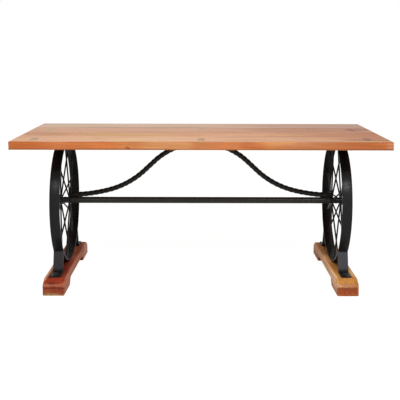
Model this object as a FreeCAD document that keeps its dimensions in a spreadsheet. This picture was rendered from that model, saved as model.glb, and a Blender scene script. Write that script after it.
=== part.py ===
import FreeCAD, Part
import math
import os
import Sketcher

# Dining table: a plank top on two iron cartwheels that stand on wooden feet.
# X runs along the top, -Y is the front, +Z is up, and the origin is on the floor under the middle.

# Driving dimensions in millimetres, and angles in degrees
SIZES = (
    # Plank top
    ("top_length", 1800),
    ("top_width", 850),
    ("top_thickness", 38),
    ("board_count", 4),
    ("board_arris", 0.8),
    # Metal inlays let into the top
    ("inlay_length", 34),
    ("inlay_width", 100),
    ("inlay_thickness", 2),
    ("inlay_corner", 4),
    ("inlay_end_margin", 100),
    ("inlay_clearance", 0.2),
    # Wheels
    ("wheel_overhang", 186),
    ("rim_radius", 318),
    ("rim_width", 50),
    ("rim_thickness", 7),
    ("rim_edge_round", 1.5),
    # Spoke rods, laced from both ends of the hub to the middle of the rim
    ("spoke_count", 16),
    ("spoke_diameter", 8),
    ("left_wheel_angle", 4.8),
    ("right_wheel_angle", 0.3),
    ("weld_gap", 0.35),
    # Hubs
    ("hub_length", 54),
    ("hub_barrel_diameter", 32),
    ("hub_flange_diameter", 46),
    ("hub_flange_thickness", 8),
    ("bore_clearance", 0.5),
    # Bolts through the hubs
    ("hub_bolt_diameter", 12),
    ("hub_bolt_flats", 19),
    ("hub_bolt_head", 7.5),
    ("hub_bolt_grip_in_plug", 26),
    ("washer_diameter", 26),
    ("washer_thickness", 2.5),
    # Stretcher tube between the hubs
    ("stretcher_diameter", 33.7),
    ("stretcher_wall", 2.5),
    ("plug_length", 32),
    # Twisted brace, a square bar with cut corners: crown arc, straight flank, knee arc and
    # a long arc onto the stretcher
    ("brace_bar", 24),
    ("brace_corner_cut", 4.7),
    ("brace_crown_radius", 354),
    ("brace_crown_angle", 43),
    ("brace_knee_radius", 436),
    ("brace_knee_angle", 14.8),
    ("brace_quarter_turn", 27),
    ("brace_plain_end", 72),
    ("brace_end_gap", 0.4),
    # Plates that carry the top
    ("plate_width", 60),
    ("plate_end_margin", 45),
    ("plate_thickness", 5),
    ("plate_screw_pitch", 90),
    ("crown_plate_length", 90),
    ("crown_plate_width", 130),
    ("crown_screw_pitch_along", 60),
    ("crown_screw_pitch_across", 96),
    # Wood screws
    ("screw_diameter", 5),
    ("screw_head_diameter", 11),
    ("screw_head_height", 3.5),
    ("screw_head_round", 2.5),
    ("screw_length", 30),
    # Straps from the rims to the feet
    ("strap_width", 50),
    ("strap_thickness", 6),
    ("strap_rim_angle", 46),
    ("strap_toe_margin", 55),
    ("strap_foot_length", 87),
    ("strap_edge_round", 1),
    # Coach bolts that hold the straps down
    ("foot_bolt_diameter", 10),
    ("foot_bolt_head_diameter", 20),
    ("foot_bolt_head_height", 6),
    ("foot_bolt_head_round", 5),
    ("foot_bolt_depth", 50),
    ("foot_bolt_inset", 43),
    # Wooden feet
    ("foot_length", 800),
    ("foot_width", 105),
    ("foot_height", 76),
    ("foot_pad_length", 170),
    ("foot_arch_height", 34),
    ("foot_arch_slant", 27),
    ("foot_nose_length", 48),
    ("foot_nose_drop", 23),
    ("foot_nose_round", 15),
    ("foot_brow_round", 12),
    ("foot_edge_round", 4),
    # Run past a face, for cuts
    ("overrun", 2),
)

# Places worked out from the driving dimensions
BOARD_WIDTH = "(Sizes.top_width / Sizes.board_count)"
INLAY_REACH = "(Sizes.top_length / 2 - Sizes.inlay_end_margin)"
WHEEL_REACH = "(Sizes.top_length / 2 - Sizes.wheel_overhang)"
PLATE_LENGTH = "(Sizes.top_width - 2 * Sizes.plate_end_margin)"
HUB_HEIGHT = "(Sizes.foot_height + Sizes.rim_radius)"
RIM_INNER = "(Sizes.rim_radius - Sizes.rim_thickness)"
PLATE_UNDERSIDE = "(Sizes.foot_height + 2 * Sizes.rim_radius)"
TOP_UNDERSIDE = "(%s + Sizes.plate_thickness)" % PLATE_UNDERSIDE
STRETCHER_LENGTH = "(2 * %s - Sizes.hub_length)" % WHEEL_REACH
FLANGE_OFFSET = "((Sizes.hub_length - Sizes.hub_flange_thickness) / 2)"
SPOKE_START = "(Sizes.hub_flange_diameter / 2 + Sizes.weld_gap)"
SPOKE_RISE = "(%s - %s - Sizes.weld_gap)" % (RIM_INNER, SPOKE_START)
SCREW_HOLE = "(Sizes.screw_diameter / 2 + Sizes.bore_clearance)"
STRAP_TOE = "(Sizes.foot_length / 2 - Sizes.strap_toe_margin)"
STRAP_HEEL = "(%s - Sizes.strap_foot_length)" % STRAP_TOE
STRAP_RIM_ALONG = "(Sizes.rim_radius * sin(Sizes.strap_rim_angle))"
STRAP_RIM_UP = "(Sizes.rim_radius * (1 - cos(Sizes.strap_rim_angle)))"
STRAP_LEAN = "atan((%s - %s) / %s)" % (STRAP_HEEL, STRAP_RIM_ALONG, STRAP_RIM_UP)
FOOT_BOLT_PLACE = "(%s - Sizes.foot_bolt_inset)" % STRAP_TOE

SIDES = {"left": -1, "right": 1}
ENDS = {"front": -1, "rear": 1}

# Sections of the brace in each quarter turn of its twist
STEPS_PER_QUARTER = 3

# Two lengths are the same when they differ by less than this share of the longer one
SAME_SHARE = 1e-6

doc = FreeCAD.newDocument("dining_table")
sheet = doc.addObject("Spreadsheet::Sheet", "Sizes")
for row, (alias, value) in enumerate(SIZES, start=1):
    sheet.set("A%d" % row, alias.replace("_", " "))
    sheet.set("B%d" % row, str(value))
    sheet.setAlias("B%d" % row, alias)
doc.recompute()

pieces = []


def size(expression):
    """The value of an expression over the sheet's sizes."""
    return float(sheet.evalExpression(expression))


def keep(piece):
    """Note a finished sub-part, which gets a file of its own."""
    pieces.append(piece)
    return piece


def place(piece, across="0", along="0", up="0"):
    """Bind a piece's position: across is X, along is Y and up is Z."""
    for axis, expression in zip("xyz", (across, along, up)):
        piece.setExpression(".Placement.Base.%s" % axis, expression)


# Sketches
def new_sketch(body, name, plane, offset="0"):
    """An empty sketch on one of the body's origin planes, raised by an offset."""
    outline = body.newObject("Sketcher::SketchObject", name)
    planes = [item for item in body.Origin.OriginFeatures if item.Role == plane]
    outline.AttachmentSupport = (planes[0], "")
    outline.MapMode = "FlatFace"
    outline.setExpression("AttachmentOffset.Base.z", offset)
    return outline


def pin_point(outline, line, end, spot):
    """Hold one point of a sketch at a pair of expressions."""
    for kind, expression in zip(("DistanceX", "DistanceY"), spot):
        rule = Sketcher.Constraint(kind, -1, 1, line, end, size(expression))
        number = outline.addConstraint(rule)
        outline.setExpression("Constraints[%d]" % number, expression)


def draw_circle(outline, radius, centre=("0", "0")):
    """A circle whose centre and radius are expressions."""
    middle = FreeCAD.Vector(size(centre[0]), size(centre[1]), 0)
    normal = FreeCAD.Vector(0, 0, 1)
    line = outline.addGeometry(Part.Circle(middle, normal, size(radius)))
    pin_point(outline, line, 3, centre)
    number = outline.addConstraint(Sketcher.Constraint("Radius", line, size(radius)))
    outline.setExpression("Constraints[%d]" % number, radius)


def draw_polygon(outline, corners):
    """A closed outline whose corners are pairs of expressions."""
    first = outline.GeometryCount
    spots = [FreeCAD.Vector(size(across), size(up), 0) for across, up in corners]
    for index, spot in enumerate(spots):
        outline.addGeometry(Part.LineSegment(spots[index - 1], spot))
    for index, corner in enumerate(corners):
        following = first + (index + 1) % len(corners)
        outline.addConstraint(Sketcher.Constraint("Coincident", first + index, 2, following, 1))
        pin_point(outline, first + index, 2, corner)


def draw_rectangle(outline, length, width, centre=("0", "0")):
    """A rectangle about a centre, all of it in expressions."""
    corners = []
    for across, up in ((-1, -1), (1, -1), (1, 1), (-1, 1)):
        across_place = "%s + %d * %s / 2" % (centre[0], across, length)
        up_place = "%s + %d * %s / 2" % (centre[1], up, width)
        corners.append((across_place, up_place))
    draw_polygon(outline, corners)


# Features
def new_body(label):
    body = doc.addObject("PartDesign::Body", label)
    body.Label = label
    return body


def pad(body, outline, length, symmetric=False, downward=False):
    feature = body.newObject("PartDesign::Pad", outline.Name + "_pad")
    feature.Profile = outline
    feature.setExpression("Length", length)
    feature.Midplane = symmetric
    feature.Reversed = downward
    doc.recompute()
    return feature


def pocket(body, outline, depth, symmetric=False, upward=False):
    """Cut a sketch into a body, and make sure that it took something away."""
    before = body.Shape.Volume
    feature = body.newObject("PartDesign::Pocket", outline.Name + "_pocket")
    feature.Profile = outline
    feature.setExpression("Length", depth)
    feature.Midplane = symmetric
    feature.Reversed = upward
    doc.recompute()
    if body.Shape.Volume >= before:
        raise ValueError("%s cuts nothing from %s" % (outline.Name, body.Label))
    return feature


def fillet(body, radius, wanted):
    """Round every edge of the body's last feature that the test names."""
    base = body.Tip
    names = []
    for number, edge in enumerate(base.Shape.Edges, start=1):
        if wanted(edge):
            names.append("Edge%d" % number)
    feature = body.newObject("PartDesign::Fillet", body.Name + "_round")
    feature.Base = (base, names)
    feature.setExpression("Radius", radius)
    doc.recompute()
    return feature


def runs_along(edge, axis):
    """True for a straight edge parallel to the named axis."""
    box = edge.BoundBox
    lengths = {"x": box.XLength, "y": box.YLength, "z": box.ZLength}
    return edge.Length > 0 and abs(lengths[axis] - edge.Length) < edge.Length * SAME_SHARE


def near(first, second):
    return abs(first - second) < size("Sizes.weld_gap") / 2


# Plank top
def board_centre(board):
    """The Y of a board's middle, counted from the front."""
    return "((%d + 0.5) * %s - Sizes.top_width / 2)" % (board, BOARD_WIDTH)


def screws_of_board(board):
    """Screw places in one board, as pairs of expressions from the middle of the board."""
    half_pitch = "Sizes.plate_screw_pitch / 2"
    places = []
    for side in SIDES.values():
        for end in ENDS.values():
            places.append((wheel_place(side), "%d * %s" % (end, half_pitch)))
    half_across = "Sizes.crown_screw_pitch_across / 2"
    for end in ENDS.values():
        inside = abs(size("%d * %s - %s" % (end, half_across, board_centre(board))))
        if inside < size(BOARD_WIDTH) / 2:
            for side in SIDES.values():
                across = "%d * Sizes.crown_screw_pitch_along / 2" % side
                places.append((across, "%d * %s - %s" % (end, half_across, board_centre(board))))
    return places


def inlay_places():
    return ["%d * %s" % (step, INLAY_REACH) for step in (-1, 0, 1)]


def make_board(board, has_inlays):
    body = new_body("top_board_%d" % (board + 1))
    outline = new_sketch(body, body.Name + "_outline", "XY_Plane")
    draw_rectangle(outline, "Sizes.top_length", BOARD_WIDTH)
    pad(body, outline, "Sizes.top_thickness")
    top = size("Sizes.top_thickness")
    fillet(body, "Sizes.board_arris", lambda edge: near(edge.BoundBox.ZMin, top))
    if has_inlays:
        seats = new_sketch(body, body.Name + "_inlay_seats", "XY_Plane", "Sizes.top_thickness")
        for across in inlay_places():
            length = "(Sizes.inlay_length + 2 * Sizes.inlay_clearance)"
            width = "(Sizes.inlay_width + 2 * Sizes.inlay_clearance)"
            draw_rectangle(seats, length, width, (across, "0"))
        pocket(body, seats, "Sizes.inlay_thickness")
        depth = size("Sizes.inlay_thickness")
        fillet(body, "Sizes.inlay_corner", lambda edge: runs_along(edge, "z") and near(edge.Length, depth))
    holes = new_sketch(body, body.Name + "_screw_holes", "XY_Plane")
    for spot in screws_of_board(board):
        draw_circle(holes, "Sizes.screw_diameter / 2", spot)
    pocket(body, holes, "(Sizes.screw_length - Sizes.plate_thickness)", upward=True)
    place(body, along=board_centre(board), up=TOP_UNDERSIDE)
    return keep(body)


def make_inlays(label, board):
    body = new_body(label)
    outline = new_sketch(body, label + "_outline", "XY_Plane")
    for across in inlay_places():
        draw_rectangle(outline, "Sizes.inlay_length", "Sizes.inlay_width", (across, "0"))
    pad(body, outline, "Sizes.inlay_thickness")
    fillet(body, "Sizes.inlay_corner", lambda edge: runs_along(edge, "z"))
    up = "%s + Sizes.top_thickness - Sizes.inlay_thickness" % TOP_UNDERSIDE
    place(body, along=board_centre(board), up=up)
    return keep(body)


# Wheels
def wheel_place(side):
    return "%d * %s" % (side, WHEEL_REACH)


def make_rim(name, side):
    body = new_body(name + "_wheel_rim")
    outline = new_sketch(body, body.Name + "_outline", "YZ_Plane")
    draw_circle(outline, "Sizes.rim_radius")
    draw_circle(outline, RIM_INNER)
    pad(body, outline, "Sizes.rim_width", symmetric=True)
    edge_place = size("Sizes.rim_width / 2")
    fillet(body, "Sizes.rim_edge_round", lambda edge: near(abs(edge.BoundBox.Center.x), edge_place))
    place(body, across=wheel_place(side), up=HUB_HEIGHT)
    return keep(body)


def make_hub(name, side):
    """A turned barrel with a flange at each end and a bore for the bolt."""
    body = new_body(name + "_wheel_hub")
    outline = new_sketch(body, body.Name + "_outline", "XZ_Plane")
    end = "Sizes.hub_length / 2"
    shoulder = "(Sizes.hub_length / 2 - Sizes.hub_flange_thickness)"
    bore = "(Sizes.hub_bolt_diameter / 2 + Sizes.bore_clearance)"
    barrel = "Sizes.hub_barrel_diameter / 2"
    flange = "Sizes.hub_flange_diameter / 2"
    corners = (
        ("-" + end, bore),
        (end, bore),
        (end, flange),
        (shoulder, flange),
        (shoulder, barrel),
        ("-" + shoulder, barrel),
        ("-" + shoulder, flange),
        ("-" + end, flange),
    )
    draw_polygon(outline, corners)
    turned = body.newObject("PartDesign::Revolution", body.Name + "_turned")
    turned.Profile = outline
    turned.ReferenceAxis = (outline, ["H_Axis"])
    turned.Angle = 360
    place(body, across=wheel_place(side), up=HUB_HEIGHT)
    return keep(body)


def make_spokes(name, side):
    """Straight rods that start by turns at the two flanges and end in the middle of the rim."""
    count = int(size("Sizes.spoke_count"))
    for rod in range(count):
        spoke = doc.addObject("Part::Cylinder", "%s_wheel_spoke_%02d" % (name, rod + 1))
        spoke.Label = spoke.Name
        flange_end = 1 if rod % 2 == 0 else -1
        turn = "(Sizes.%s_wheel_angle + %d * 360 / Sizes.spoke_count)" % (name, rod)
        lean = "atan(%s / %s)" % (FLANGE_OFFSET, SPOKE_RISE)
        spoke.setExpression("Radius", "Sizes.spoke_diameter / 2")
        spoke.setExpression("Height", "%s / cos(%s)" % (SPOKE_RISE, lean))
        start = "vector(%s + %d * %s; %s * sin(%s); %s + %s * cos(%s))" % (
            wheel_place(side), flange_end, FLANGE_OFFSET, SPOKE_START, turn, HUB_HEIGHT, SPOKE_START, turn)
        about_x = "rotation(vector(1; 0; 0); -%s)" % turn
        about_y = "rotation(vector(0; 1; 0); %d * %s)" % (-flange_end, lean)
        spoke.setExpression("Placement", "placement(%s; %s * %s)" % (start, about_x, about_y))
        keep(spoke)


# Stretcher, its end plugs and the bolts
def make_stretcher():
    body = new_body("stretcher")
    outline = new_sketch(body, "stretcher_outline", "YZ_Plane")
    draw_circle(outline, "Sizes.stretcher_diameter / 2")
    draw_circle(outline, "(Sizes.stretcher_diameter / 2 - Sizes.stretcher_wall)")
    pad(body, outline, STRETCHER_LENGTH, symmetric=True)
    place(body, up=HUB_HEIGHT)
    return keep(body)


def make_end_plug(name, side):
    """A threaded plug in the stretcher's end, flush with the end of the tube."""
    body = new_body(name + "_end_plug")
    outline = new_sketch(body, body.Name + "_outline", "YZ_Plane")
    draw_circle(outline, "(Sizes.stretcher_diameter / 2 - Sizes.stretcher_wall)")
    draw_circle(outline, "Sizes.hub_bolt_diameter / 2")
    pad(body, outline, "Sizes.plug_length", symmetric=True)
    across = "%d * (%s - Sizes.plug_length) / 2" % (side, STRETCHER_LENGTH)
    place(body, across=across, up=HUB_HEIGHT)
    return keep(body)


def outward_placement(side, from_wheel):
    """The placement that turns a piece's own Z axis away from the table's middle."""
    spot = "vector(%d * (%s + %s); 0; %s)" % (side, WHEEL_REACH, from_wheel, HUB_HEIGHT)
    return "placement(%s; rotation(vector(0; 1; 0); %d * 90))" % (spot, side)


def make_hub_bolts():
    """A hexagon bolt on each wheel's outer side, through the hub into the plug."""
    bolts = []
    head_face = "(Sizes.hub_length / 2 + Sizes.washer_thickness)"
    for name, side in SIDES.items():
        head = doc.addObject("Part::Prism", name + "_bolt_head")
        head.Polygon = 6
        head.setExpression("Circumradius", "Sizes.hub_bolt_flats / 2 / cos(30)")
        head.setExpression("Height", "Sizes.hub_bolt_head")
        shank = doc.addObject("Part::Cylinder", name + "_bolt_shank")
        reach = "(%s + Sizes.hub_length / 2 + Sizes.hub_bolt_grip_in_plug)" % head_face
        shank.setExpression("Radius", "Sizes.hub_bolt_diameter / 2")
        shank.setExpression("Height", reach)
        shank.setExpression(".Placement.Base.z", "-" + reach)
        bolt = doc.addObject("Part::Fuse", name + "_bolt")
        bolt.Base = head
        bolt.Tool = shank
        bolt.setExpression("Placement", outward_placement(side, head_face))
        bolts.append(bolt)
    group = doc.addObject("Part::Compound", "hub_bolts")
    group.Label = "hub_bolts"
    group.Links = bolts
    return keep(group)


def make_hub_washers():
    washers = []
    for name, side in SIDES.items():
        disc = doc.addObject("Part::Cylinder", name + "_washer_disc")
        disc.setExpression("Radius", "Sizes.washer_diameter / 2")
        disc.setExpression("Height", "Sizes.washer_thickness")
        hole = doc.addObject("Part::Cylinder", name + "_washer_hole")
        hole.setExpression("Radius", "(Sizes.hub_bolt_diameter / 2 + Sizes.bore_clearance)")
        hole.setExpression("Height", "(Sizes.washer_thickness + 2 * Sizes.overrun)")
        hole.setExpression(".Placement.Base.z", "-Sizes.overrun")
        washer = doc.addObject("Part::Cut", name + "_washer")
        washer.Base = disc
        washer.Tool = hole
        washer.setExpression("Placement", outward_placement(side, "Sizes.hub_length / 2"))
        washers.append(washer)
    group = doc.addObject("Part::Compound", "hub_washers")
    group.Label = "hub_washers"
    group.Links = washers
    return keep(group)


# Twisted brace
def brace_runs():
    """The half of the brace from its crown to its end, as (length, angle at start, angle at end).

    The crown hangs under its plate and the end lies on the stretcher beside the hub, so the
    length of the straight flank and the radius of the last arc follow from the other sizes.
    """
    crown_height = size("%s - Sizes.weld_gap" % PLATE_UNDERSIDE) - math.hypot(*brace_corner())
    end_height = size("%s + (Sizes.stretcher_diameter + Sizes.brace_bar) / 2" % HUB_HEIGHT)
    drop = crown_height - end_height
    run = size("%s / 2 - Sizes.brace_end_gap" % STRETCHER_LENGTH)
    crown_radius = size("Sizes.brace_crown_radius")
    knee_radius = size("Sizes.brace_knee_radius")
    crown = math.radians(size("Sizes.brace_crown_angle"))
    knee = math.radians(size("Sizes.brace_knee_angle"))
    rest_run = run - crown_radius * math.sin(crown) - knee_radius * (math.sin(crown) - math.sin(knee))
    rest_drop = drop - crown_radius * (1 - math.cos(crown)) - knee_radius * (math.cos(knee) - math.cos(crown))
    # flank * cos(crown) + radius * sin(knee) = rest_run
    # flank * sin(crown) + radius * (1 - cos(knee)) = rest_drop
    scale = math.cos(crown) * (1 - math.cos(knee)) - math.sin(crown) * math.sin(knee)
    flank = (rest_run * (1 - math.cos(knee)) - rest_drop * math.sin(knee)) / scale
    end_radius = (math.cos(crown) * rest_drop - math.sin(crown) * rest_run) / scale
    print("brace crown height %.1f, flank %.1f, end radius %.1f" % (crown_height, flank, end_radius))
    runs = [
        (crown_radius * crown, 0, crown),
        (flank, crown, crown),
        (knee_radius * (crown - knee), crown, knee),
        (end_radius * knee, knee, 0),
    ]
    return crown_height, runs


def brace_point(crown_height, runs, distance):
    """Centre-line point and downward angle at a distance from the crown, on the +X half."""
    across = 0
    up = crown_height
    angle = 0
    left = distance
    for length, start, end in runs:
        part = min(left, length)
        angle = start + (end - start) * part / length
        if start == end:
            across += part * math.cos(start)
            up -= part * math.sin(start)
        else:
            radius = length / (end - start)
            across += radius * (math.sin(angle) - math.sin(start))
            up -= radius * (math.cos(start) - math.cos(angle))
        left -= part
        if left <= 0:
            break
    return across, up, angle


def brace_corner():
    """The two distances from the bar's axis to an end of a face."""
    face = size("Sizes.brace_bar / 2")
    return face, face - size("Sizes.brace_corner_cut")


def brace_section(crown_height, runs, distance, twist):
    """The bar's outline, a square with cut corners, at a signed distance from the crown."""
    side = 1 if distance >= 0 else -1
    across, up, angle = brace_point(crown_height, runs, abs(distance))
    centre = FreeCAD.Vector(side * across, 0, up)
    normal = FreeCAD.Vector(side * math.sin(angle), 0, math.cos(angle))
    level = FreeCAD.Vector(0, 1, 0)
    face, end = brace_corner()
    reach = math.hypot(face, end)
    corners = []
    for quarter in range(4):
        for end_turn in (-math.atan2(end, face), math.atan2(end, face)):
            turn = math.radians(90 * quarter) + end_turn + twist
            corners.append(centre + normal * (reach * math.cos(turn)) + level * (reach * math.sin(turn)))
    return corners


def skin(sections):
    """A solid with ruled faces from each section's corners to the same corners of the next."""
    faces = []
    for outline in (sections[0], sections[-1]):
        faces.append(Part.Face(Part.makePolygon(outline + outline[:1])))
    for corner in range(len(sections[0])):
        lines = [Part.makePolygon([outline[corner - 1], outline[corner]]) for outline in sections]
        faces.extend(Part.makeLoft(lines, False, True).Faces)
    shell = Part.makeShell(faces)
    shell.sewShape()
    solid = Part.makeSolid(shell)
    if solid.Volume < 0:
        solid.reverse()
    return solid


def make_brace():
    """A bar twisted all along but for its plain ends, and bent to a bell-shaped curve."""
    crown_height, runs = brace_runs()
    half = sum(run[0] for run in runs)
    plain = size("Sizes.brace_plain_end")
    twisted = 2 * (half - plain)
    quarters = round(twisted / size("Sizes.brace_quarter_turn"))
    steps = quarters * STEPS_PER_QUARTER
    sections = [brace_section(crown_height, runs, -half, 0)]
    for step in range(steps + 1):
        distance = plain - half + twisted * step / steps
        twist = math.radians(90) * step / STEPS_PER_QUARTER
        sections.append(brace_section(crown_height, runs, distance, twist))
    sections.append(brace_section(crown_height, runs, half, math.radians(90) * quarters))
    print("brace half length %.1f, %d quarter turns, %d sections" % (half, quarters, len(sections)))
    brace = doc.addObject("Part::Feature", "brace")
    brace.Label = "brace"
    brace.Shape = skin(sections)
    brace.Placement = FreeCAD.Placement()
    return keep(brace)


# Plates that carry the top
def make_plate(label, length_along_x, length_along_y, screws, across):
    body = new_body(label)
    outline = new_sketch(body, label + "_outline", "XY_Plane")
    draw_rectangle(outline, length_along_x, length_along_y)
    for spot in screws:
        draw_circle(outline, SCREW_HOLE, spot)
    pad(body, outline, "Sizes.plate_thickness")
    place(body, across=across, up=PLATE_UNDERSIDE)
    return keep(body)


def wheel_plate_screws():
    """Two screws into each board, as places from the middle of the plate."""
    places = []
    for board in range(int(size("Sizes.board_count"))):
        for end in ENDS.values():
            places.append(("0", "%s + %d * Sizes.plate_screw_pitch / 2" % (board_centre(board), end)))
    return places


def crown_plate_screws():
    places = []
    for side in SIDES.values():
        for end in ENDS.values():
            across = "%d * Sizes.crown_screw_pitch_along / 2" % side
            places.append((across, "%d * Sizes.crown_screw_pitch_across / 2" % end))
    return places


def make_screws():
    """All the pan-head wood screws of the three plates, in one group."""
    places = list(crown_plate_screws())
    for side in SIDES.values():
        for across, along in wheel_plate_screws():
            places.append((wheel_place(side) + " + " + across, along))
    body = new_body("top_screws")
    heads = new_sketch(body, "screw_heads", "XY_Plane")
    for spot in places:
        draw_circle(heads, "Sizes.screw_head_diameter / 2", spot)
    pad(body, heads, "Sizes.screw_head_height", downward=True)
    bottom = -size("Sizes.screw_head_height")
    fillet(body, "Sizes.screw_head_round", lambda edge: near(edge.BoundBox.ZMax, bottom))
    shanks = new_sketch(body, "screw_shanks", "XY_Plane")
    for spot in places:
        draw_circle(shanks, "Sizes.screw_diameter / 2", spot)
    pad(body, shanks, "Sizes.screw_length")
    place(body, up=PLATE_UNDERSIDE)
    return keep(body)


# Straps and their bolts
def make_strap(name, side, end_name, end):
    """A flat iron that leans in from its bolted toe and is cut to the rim's outer face."""
    body = new_body("%s_%s_strap" % (name, end_name))
    outline = new_sketch(body, body.Name + "_outline", "YZ_Plane")
    thick = "Sizes.strap_thickness"
    blank = "(%s / cos(%s) + 2 * %s)" % (STRAP_RIM_UP, STRAP_LEAN, thick)
    tip_along = "(%s - %s * sin(%s))" % (STRAP_HEEL, blank, STRAP_LEAN)
    tip_up = "%s * cos(%s)" % (blank, STRAP_LEAN)
    bend_along = "(%s + %s * (1 - sin(%s)) / cos(%s))" % (STRAP_HEEL, thick, STRAP_LEAN, STRAP_LEAN)
    front_along = "(%s + %s * cos(%s))" % (tip_along, thick, STRAP_LEAN)
    front_up = "(%s + %s * sin(%s))" % (tip_up, thick, STRAP_LEAN)
    corners = (
        (STRAP_HEEL, "0"),
        (STRAP_TOE, "0"),
        (STRAP_TOE, thick),
        (bend_along, thick),
        (front_along, front_up),
        (tip_along, tip_up),
    )
    draw_polygon(outline, [("%d * %s" % (end, along), up) for along, up in corners])
    pad(body, outline, "Sizes.strap_width", symmetric=True)
    edge_place = size("Sizes.strap_width / 2")
    fillet(body, "Sizes.strap_edge_round", lambda edge: near(abs(edge.BoundBox.Center.x), edge_place))
    scribe = new_sketch(body, body.Name + "_scribe", "YZ_Plane")
    draw_circle(scribe, "(Sizes.rim_radius + Sizes.weld_gap)", ("0", "Sizes.rim_radius"))
    pocket(body, scribe, "(Sizes.strap_width + Sizes.overrun)", symmetric=True)
    hole = new_sketch(body, body.Name + "_hole", "XY_Plane")
    radius = "(Sizes.foot_bolt_diameter / 2 + Sizes.bore_clearance)"
    draw_circle(hole, radius, ("0", "%d * %s" % (end, FOOT_BOLT_PLACE)))
    pocket(body, hole, "(Sizes.strap_thickness + Sizes.overrun)", upward=True)
    place(body, across=wheel_place(side), up="Sizes.foot_height")
    return keep(body)


def make_foot_bolts():
    """Four round-headed coach bolts, in one group."""
    places = []
    for side in SIDES.values():
        for end in ENDS.values():
            places.append((wheel_place(side), "%d * %s" % (end, FOOT_BOLT_PLACE)))
    body = new_body("foot_bolts")
    heads = new_sketch(body, "foot_bolt_heads", "XY_Plane")
    shanks = new_sketch(body, "foot_bolt_shanks", "XY_Plane")
    for spot in places:
        draw_circle(heads, "Sizes.foot_bolt_head_diameter / 2", spot)
        draw_circle(shanks, "Sizes.foot_bolt_diameter / 2", spot)
    pad(body, heads, "Sizes.foot_bolt_head_height")
    crown = size("Sizes.foot_bolt_head_height")
    fillet(body, "Sizes.foot_bolt_head_round", lambda edge: near(edge.BoundBox.ZMin, crown))
    pad(body, shanks, "(Sizes.strap_thickness + Sizes.foot_bolt_depth)", downward=True)
    place(body, up="Sizes.foot_height + Sizes.strap_thickness")
    return keep(body)


# Feet
def make_foot(name, side):
    """A long block, arched underneath, with sloping noses at the front and the rear."""
    body = new_body(name + "_foot")
    outline = new_sketch(body, body.Name + "_outline", "YZ_Plane")
    end = "Sizes.foot_length / 2"
    pad_edge = "(Sizes.foot_length / 2 - Sizes.foot_pad_length)"
    arch_edge = "(%s - Sizes.foot_arch_slant)" % pad_edge
    brow = "(Sizes.foot_length / 2 - Sizes.foot_nose_length)"
    nose = "(Sizes.foot_height - Sizes.foot_nose_drop)"
    half = (
        (end, nose),
        (brow, "Sizes.foot_height"),
    )
    lower = (
        (arch_edge, "Sizes.foot_arch_height"),
        (pad_edge, "0"),
        (end, "0"),
    )
    corners = list(lower + half)
    for along, up in reversed(lower + half):
        corners.append(("-" + along, up))
    draw_polygon(outline, corners)
    pad(body, outline, "Sizes.foot_width", symmetric=True)
    tip = size(end)
    nose_up = size(nose)
    brow_up = size("Sizes.foot_height")

    def is_nose(edge):
        box = edge.BoundBox
        return runs_along(edge, "x") and near(abs(box.Center.y), tip) and near(box.Center.z, nose_up)

    def is_brow(edge):
        return runs_along(edge, "x") and near(edge.BoundBox.Center.z, brow_up)

    fillet(body, "Sizes.foot_nose_round", is_nose)
    fillet(body, "Sizes.foot_brow_round", is_brow)
    flank = size("Sizes.foot_width / 2")
    fillet(body, "Sizes.foot_edge_round", lambda edge: near(abs(edge.BoundBox.Center.x), flank))
    holes = new_sketch(body, body.Name + "_bolt_holes", "XY_Plane", "Sizes.foot_height")
    for end_side in ENDS.values():
        spot = ("0", "%d * %s" % (end_side, FOOT_BOLT_PLACE))
        draw_circle(holes, "Sizes.foot_bolt_diameter / 2", spot)
    pocket(body, holes, "Sizes.foot_bolt_depth")
    place(body, across=wheel_place(side))
    return keep(body)


# Build
INLAID_BOARDS = {0: "front_inlays", 2: "rear_inlays"}
for board in range(int(size("Sizes.board_count"))):
    make_board(board, board in INLAID_BOARDS)
for board, label in INLAID_BOARDS.items():
    make_inlays(label, board)
for name, side in SIDES.items():
    make_rim(name, side)
    make_hub(name, side)
    make_spokes(name, side)
    make_end_plug(name, side)
    across = wheel_place(side)
    make_plate(name + "_top_plate", "Sizes.plate_width", PLATE_LENGTH, wheel_plate_screws(), across)
    make_foot(name, side)
    for end_name, end in ENDS.items():
        make_strap(name, side, end_name, end)
make_stretcher()
make_hub_bolts()
make_hub_washers()
make_brace()
make_plate("crown_plate", "Sizes.crown_plate_length", "Sizes.crown_plate_width", crown_plate_screws(), "0")
make_screws()
make_foot_bolts()
doc.recompute()

# Nothing is written unless every object and every sub-part is sound
for item in doc.Objects:
    if "Invalid" in item.State or "Error" in item.State:
        raise ValueError("%s failed: %s" % (item.Label, item.State))
for piece in pieces:
    if piece.Shape.isNull() or not piece.Shape.isValid():
        raise ValueError("%s has no sound shape" % piece.Label)
os.makedirs("parts", exist_ok=True)
for piece in pieces:
    piece.Shape.exportStep("parts/%s.step" % piece.Label)
    print(piece.Label, len(piece.Shape.Solids), round(piece.Shape.Volume))
print(len(pieces), "sub-parts")
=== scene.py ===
import math
from functools import cache

import bpy
from mathutils import Matrix, Vector
from mathutils.noise import noise as lump


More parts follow.
